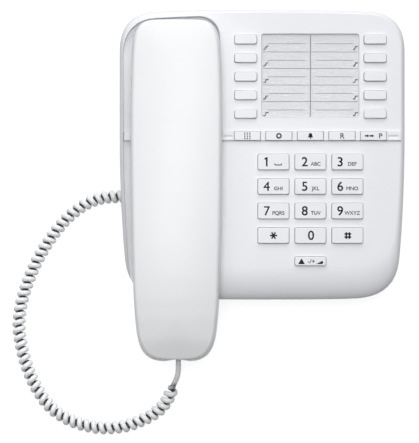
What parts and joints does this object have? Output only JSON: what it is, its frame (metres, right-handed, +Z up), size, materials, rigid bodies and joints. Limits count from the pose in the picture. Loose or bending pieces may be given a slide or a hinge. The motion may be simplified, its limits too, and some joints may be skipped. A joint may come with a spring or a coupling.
{
  "type": "corded landline phone",
  "caption": "Corded desk telephone with a sloping keypad base, a handset in a side cradle and a curly handset cord.",
  "frame": {"origin": "on the table, under the middle of the base and handset together", "axes": "+X to the user's right, +Y away from the user towards the raised rear edge, +Z up from the table"},
  "size_m": [0.2384, 0.2547, 0.0672],
  "materials": {
    "case_white": "satin moulded ABS",
    "handset_white": "satin moulded ABS",
    "key_white": "fine satin moulded ABS",
    "window_clear": "clear polished plastic sheet",
    "index_card": "printed card",
    "grey_rubber": "matt moulded rubber",
    "circuit_board": "solder mask on glass fibre board",
    "black_plastic": "moulded",
    "steel": "zinc plated",
    "aluminium_can": "drawn",
    "jack_white": "moulded",
    "plug_clear": "clear polycarbonate",
    "cord_white": "satin PVC sheath"
  },
  "bodies": {
    "root": {"upper_case": "case_white", "function_bar": "key_white", "index_card": "index_card", "key_mat": "grey_rubber", "main_board": "circuit_board", "hook_switch": "black_plastic", "hook_spring": "steel", "case_screw_1": "steel", "case_screw_2": "steel", "lower_case": "case_white", "ringer": "black_plastic", "foot_1": "grey_rubber", "foot_2": "grey_rubber", "foot_3": "grey_rubber", "foot_4": "grey_rubber", "base_handset_jack": "jack_white", "base_plug": "plug_clear", "line_jack": "jack_white", "cord_lead_base": "cord_white", "cord_coil": "cord_white"},
    "handset": {"handset_back": "handset_white", "handset_front": "handset_white", "receiver": "black_plastic", "receiver_gasket": "grey_rubber", "microphone": "aluminium_can", "handset_weight": "steel", "handset_screw": "steel", "handset_jack": "jack_white", "handset_plug": "plug_clear", "cord_lead_handset": "cord_white"},
    "hook_plunger": {"hook_plunger": "key_white"},
    "card_window": {"card_window": "window_clear"},
    "key_1": {"key_1": "key_white"},
    "key_2": {"key_2": "key_white"},
    "key_3": {"key_3": "key_white"},
    "key_4": {"key_4": "key_white"},
    "key_5": {"key_5": "key_white"},
    "key_6": {"key_6": "key_white"},
    "key_7": {"key_7": "key_white"},
    "key_8": {"key_8": "key_white"},
    "key_9": {"key_9": "key_white"},
    "key_star": {"key_star": "key_white"},
    "key_0": {"key_0": "key_white"},
    "key_hash": {"key_hash": "key_white"},
    "key_menu": {"key_menu": "key_white"},
    "key_mute": {"key_mute": "key_white"},
    "key_bell": {"key_bell": "key_white"},
    "key_recall": {"key_recall": "key_white"},
    "key_redial": {"key_redial": "key_white"},
    "key_volume": {"key_volume": "key_white"},
    "key_memory_1": {"key_memory_1": "key_white"},
    "key_memory_2": {"key_memory_2": "key_white"},
    "key_memory_3": {"key_memory_3": "key_white"},
    "key_memory_4": {"key_memory_4": "key_white"},
    "key_memory_5": {"key_memory_5": "key_white"},
    "key_memory_6": {"key_memory_6": "key_white"},
    "key_memory_7": {"key_memory_7": "key_white"},
    "key_memory_8": {"key_memory_8": "key_white"},
    "key_memory_9": {"key_memory_9": "key_white"},
    "key_memory_10": {"key_memory_10": "key_white"}
  },
  "joints": [
    {"name": "handset_lift", "type": "slide", "parent": "root", "child": "handset", "axis": [0, -0.1392, 0.9903], "range_m": [0, 0.07]},
    {"name": "plunger_rise", "type": "slide", "parent": "root", "child": "hook_plunger", "axis": [0, -0.1392, 0.9903], "range_m": [0, 0.003], "deforming": ["hook_spring"]},
    {"name": "window_lift", "type": "slide", "parent": "root", "child": "card_window", "axis": [0, -0.1392, 0.9903], "range_m": [0, 0.012]},
    {"name": "key_1_press", "type": "slide", "parent": "root", "child": "key_1", "axis": [0, 0.1392, -0.9903], "range_m": [0, 0.0012], "stiffness_N_per_m": 400, "springref_m": -0.0005, "deforming": ["key_mat"]},
    {"name": "key_2_press", "type": "slide", "parent": "root", "child": "key_2", "axis": [0, 0.1392, -0.9903], "range_m": [0, 0.0012], "stiffness_N_per_m": 400, "springref_m": -0.0005, "deforming": ["key_mat"]},
    {"name": "key_3_press", "type": "slide", "parent": "root", "child": "key_3", "axis": [0, 0.1392, -0.9903], "range_m": [0, 0.0012], "stiffness_N_per_m": 400, "springref_m": -0.0005, "deforming": ["key_mat"]},
    {"name": "key_4_press", "type": "slide", "parent": "root", "child": "key_4", "axis": [0, 0.1392, -0.9903], "range_m": [0, 0.0012], "stiffness_N_per_m": 400, "springref_m": -0.0005, "deforming": ["key_mat"]},
    {"name": "key_5_press", "type": "slide", "parent": "root", "child": "key_5", "axis": [0, 0.1392, -0.9903], "range_m": [0, 0.0012], "stiffness_N_per_m": 400, "springref_m": -0.0005, "deforming": ["key_mat"]},
    {"name": "key_6_press", "type": "slide", "parent": "root", "child": "key_6", "axis": [0, 0.1392, -0.9903], "range_m": [0, 0.0012], "stiffness_N_per_m": 400, "springref_m": -0.0005, "deforming": ["key_mat"]},
    {"name": "key_7_press", "type": "slide", "parent": "root", "child": "key_7", "axis": [0, 0.1392, -0.9903], "range_m": [0, 0.0012], "stiffness_N_per_m": 400, "springref_m": -0.0005, "deforming": ["key_mat"]},
    {"name": "key_8_press", "type": "slide", "parent": "root", "child": "key_8", "axis": [0, 0.1392, -0.9903], "range_m": [0, 0.0012], "stiffness_N_per_m": 400, "springref_m": -0.0005, "deforming": ["key_mat"]},
    {"name": "key_9_press", "type": "slide", "parent": "root", "child": "key_9", "axis": [0, 0.1392, -0.9903], "range_m": [0, 0.0012], "stiffness_N_per_m": 400, "springref_m": -0.0005, "deforming": ["key_mat"]},
    {"name": "key_star_press", "type": "slide", "parent": "root", "child": "key_star", "axis": [0, 0.1392, -0.9903], "range_m": [0, 0.0012], "stiffness_N_per_m": 400, "springref_m": -0.0005, "deforming": ["key_mat"]},
    {"name": "key_0_press", "type": "slide", "parent": "root", "child": "key_0", "axis": [0, 0.1392, -0.9903], "range_m": [0, 0.0012], "stiffness_N_per_m": 400, "springref_m": -0.0005, "deforming": ["key_mat"]},
    {"name": "key_hash_press", "type": "slide", "parent": "root", "child": "key_hash", "axis": [0, 0.1392, -0.9903], "range_m": [0, 0.0012], "stiffness_N_per_m": 400, "springref_m": -0.0005, "deforming": ["key_mat"]},
    {"name": "key_menu_press", "type": "slide", "parent": "root", "child": "key_menu", "axis": [0, 0.1392, -0.9903], "range_m": [0, 0.0012], "stiffness_N_per_m": 400, "springref_m": -0.0005, "deforming": ["key_mat"]},
    {"name": "key_mute_press", "type": "slide", "parent": "root", "child": "key_mute", "axis": [0, 0.1392, -0.9903], "range_m": [0, 0.0012], "stiffness_N_per_m": 400, "springref_m": -0.0005, "deforming": ["key_mat"]},
    {"name": "key_bell_press", "type": "slide", "parent": "root", "child": "key_bell", "axis": [0, 0.1392, -0.9903], "range_m": [0, 0.0012], "stiffness_N_per_m": 400, "springref_m": -0.0005, "deforming": ["key_mat"]},
    {"name": "key_recall_press", "type": "slide", "parent": "root", "child": "key_recall", "axis": [0, 0.1392, -0.9903], "range_m": [0, 0.0012], "stiffness_N_per_m": 400, "springref_m": -0.0005, "deforming": ["key_mat"]},
    {"name": "key_redial_press", "type": "slide", "parent": "root", "child": "key_redial", "axis": [0, 0.1392, -0.9903], "range_m": [0, 0.0012], "stiffness_N_per_m": 400, "springref_m": -0.0005, "deforming": ["key_mat"]},
    {"name": "key_volume_press", "type": "slide", "parent": "root", "child": "key_volume", "axis": [0, 0.1392, -0.9903], "range_m": [0, 0.0012], "stiffness_N_per_m": 400, "springref_m": -0.0005, "deforming": ["key_mat"]},
    {"name": "key_memory_1_press", "type": "slide", "parent": "root", "child": "key_memory_1", "axis": [0, 0.1392, -0.9903], "range_m": [0, 0.0012], "stiffness_N_per_m": 400, "springref_m": -0.0005, "deforming": ["key_mat"]},
    {"name": "key_memory_2_press", "type": "slide", "parent": "root", "child": "key_memory_2", "axis": [0, 0.1392, -0.9903], "range_m": [0, 0.0012], "stiffness_N_per_m": 400, "springref_m": -0.0005, "deforming": ["key_mat"]},
    {"name": "key_memory_3_press", "type": "slide", "parent": "root", "child": "key_memory_3", "axis": [0, 0.1392, -0.9903], "range_m": [0, 0.0012], "stiffness_N_per_m": 400, "springref_m": -0.0005, "deforming": ["key_mat"]},
    {"name": "key_memory_4_press", "type": "slide", "parent": "root", "child": "key_memory_4", "axis": [0, 0.1392, -0.9903], "range_m": [0, 0.0012], "stiffness_N_per_m": 400, "springref_m": -0.0005, "deforming": ["key_mat"]},
    {"name": "key_memory_5_press", "type": "slide", "parent": "root", "child": "key_memory_5", "axis": [0, 0.1392, -0.9903], "range_m": [0, 0.0012], "stiffness_N_per_m": 400, "springref_m": -0.0005, "deforming": ["key_mat"]},
    {"name": "key_memory_6_press", "type": "slide", "parent": "root", "child": "key_memory_6", "axis": [0, 0.1392, -0.9903], "range_m": [0, 0.0012], "stiffness_N_per_m": 400, "springref_m": -0.0005, "deforming": ["key_mat"]},
    {"name": "key_memory_7_press", "type": "slide", "parent": "root", "child": "key_memory_7", "axis": [0, 0.1392, -0.9903], "range_m": [0, 0.0012], "stiffness_N_per_m": 400, "springref_m": -0.0005, "deforming": ["key_mat"]},
    {"name": "key_memory_8_press", "type": "slide", "parent": "root", "child": "key_memory_8", "axis": [0, 0.1392, -0.9903], "range_m": [0, 0.0012], "stiffness_N_per_m": 400, "springref_m": -0.0005, "deforming": ["key_mat"]},
    {"name": "key_memory_9_press", "type": "slide", "parent": "root", "child": "key_memory_9", "axis": [0, 0.1392, -0.9903], "range_m": [0, 0.0012], "stiffness_N_per_m": 400, "springref_m": -0.0005, "deforming": ["key_mat"]},
    {"name": "key_memory_10_press", "type": "slide", "parent": "root", "child": "key_memory_10", "axis": [0, 0.1392, -0.9903], "range_m": [0, 0.0012], "stiffness_N_per_m": 400, "springref_m": -0.0005, "deforming": ["key_mat"]}
  ],
  "couplings": [
    {"joint": "plunger_rise", "follows": "handset_lift", "ratio": 0.0428}
  ]
}
